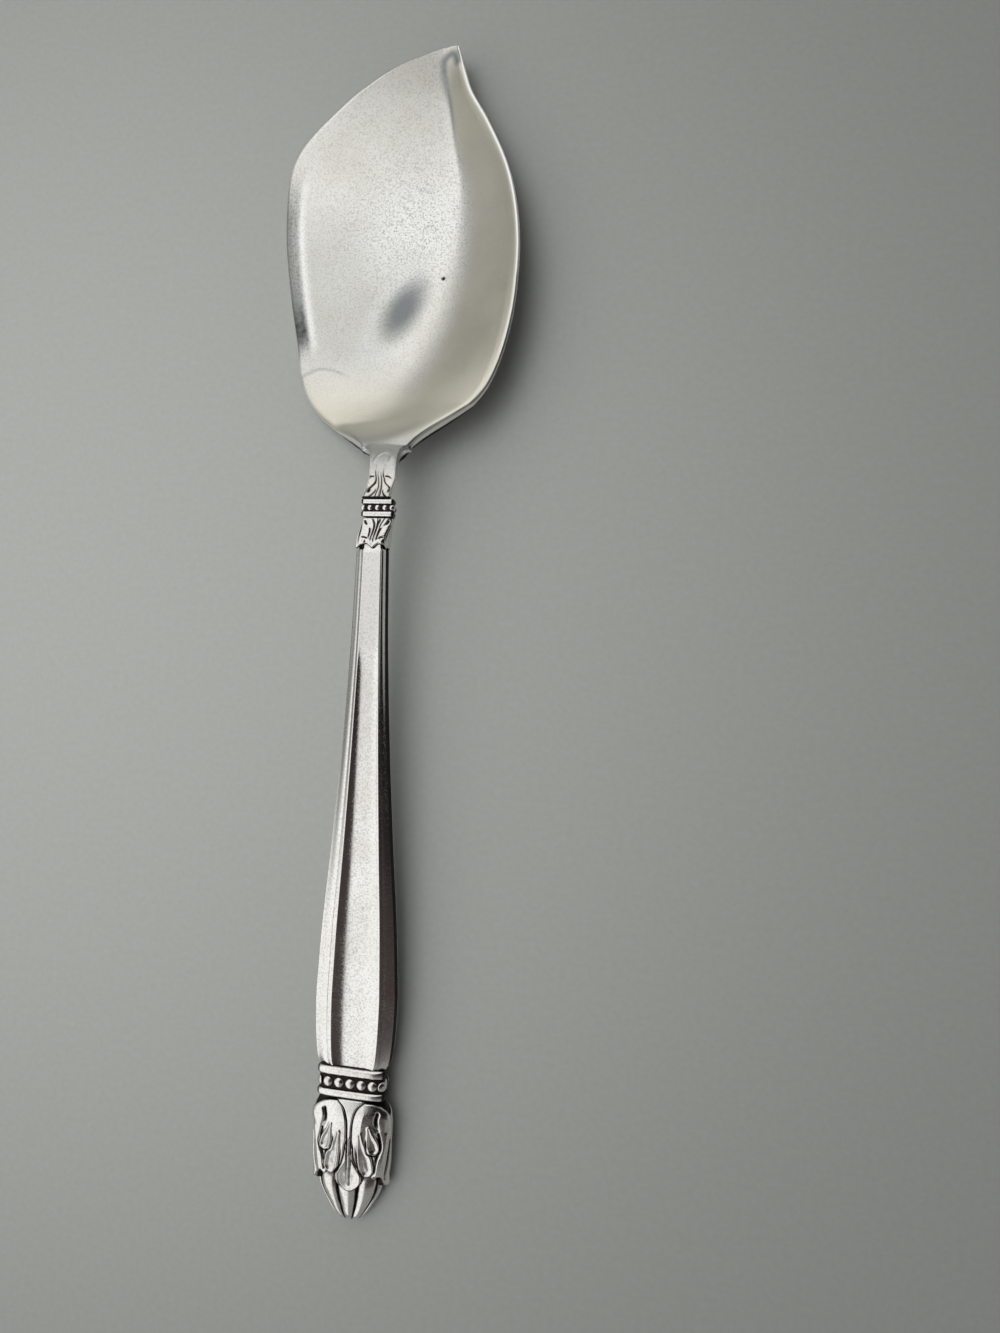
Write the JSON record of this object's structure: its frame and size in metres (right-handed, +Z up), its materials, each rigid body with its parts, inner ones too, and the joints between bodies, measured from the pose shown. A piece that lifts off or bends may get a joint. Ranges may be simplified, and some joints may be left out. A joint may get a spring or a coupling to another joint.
{
  "type": "jelly server",
  "caption": "Hollow-handled jelly server: a leaf-shaped scoop with a rolled lip and a drawn-up side wall, on a flared handle with beaded bands and a leafy bud finial.",
  "frame": {"origin": "middle of the footprint, on the table the server lies on", "axes": "+Y from the finial to the bowl's tip, +Z up out of the bowl, +X towards the bowl's drawn-up wall"},
  "size_m": [0.0374, 0.1604, 0.0122],
  "materials": {
    "worn_plate": "silver plate worn to a fine scratched satin",
    "bright_plate": "polished silver plate with light wear",
    "darkened_plate": "polished silver plate with dark tarnish in the recesses",
    "cement": "set handle cement, out of sight"
  },
  "bodies": {
    "root": {"bowl": "worn_plate", "neck_upper_ring": "bright_plate", "neck_bead_ring": "darkened_plate", "neck_lower_ring": "bright_plate", "leaf_ferrule": "darkened_plate", "handle_front_shell": "bright_plate", "handle_back_shell": "bright_plate", "handle_filler": "cement", "end_upper_ring": "bright_plate", "end_bead_ring": "darkened_plate", "end_lower_ring": "bright_plate", "finial_calyx": "darkened_plate", "finial_bud": "darkened_plate"}
  },
  "joints": []
}
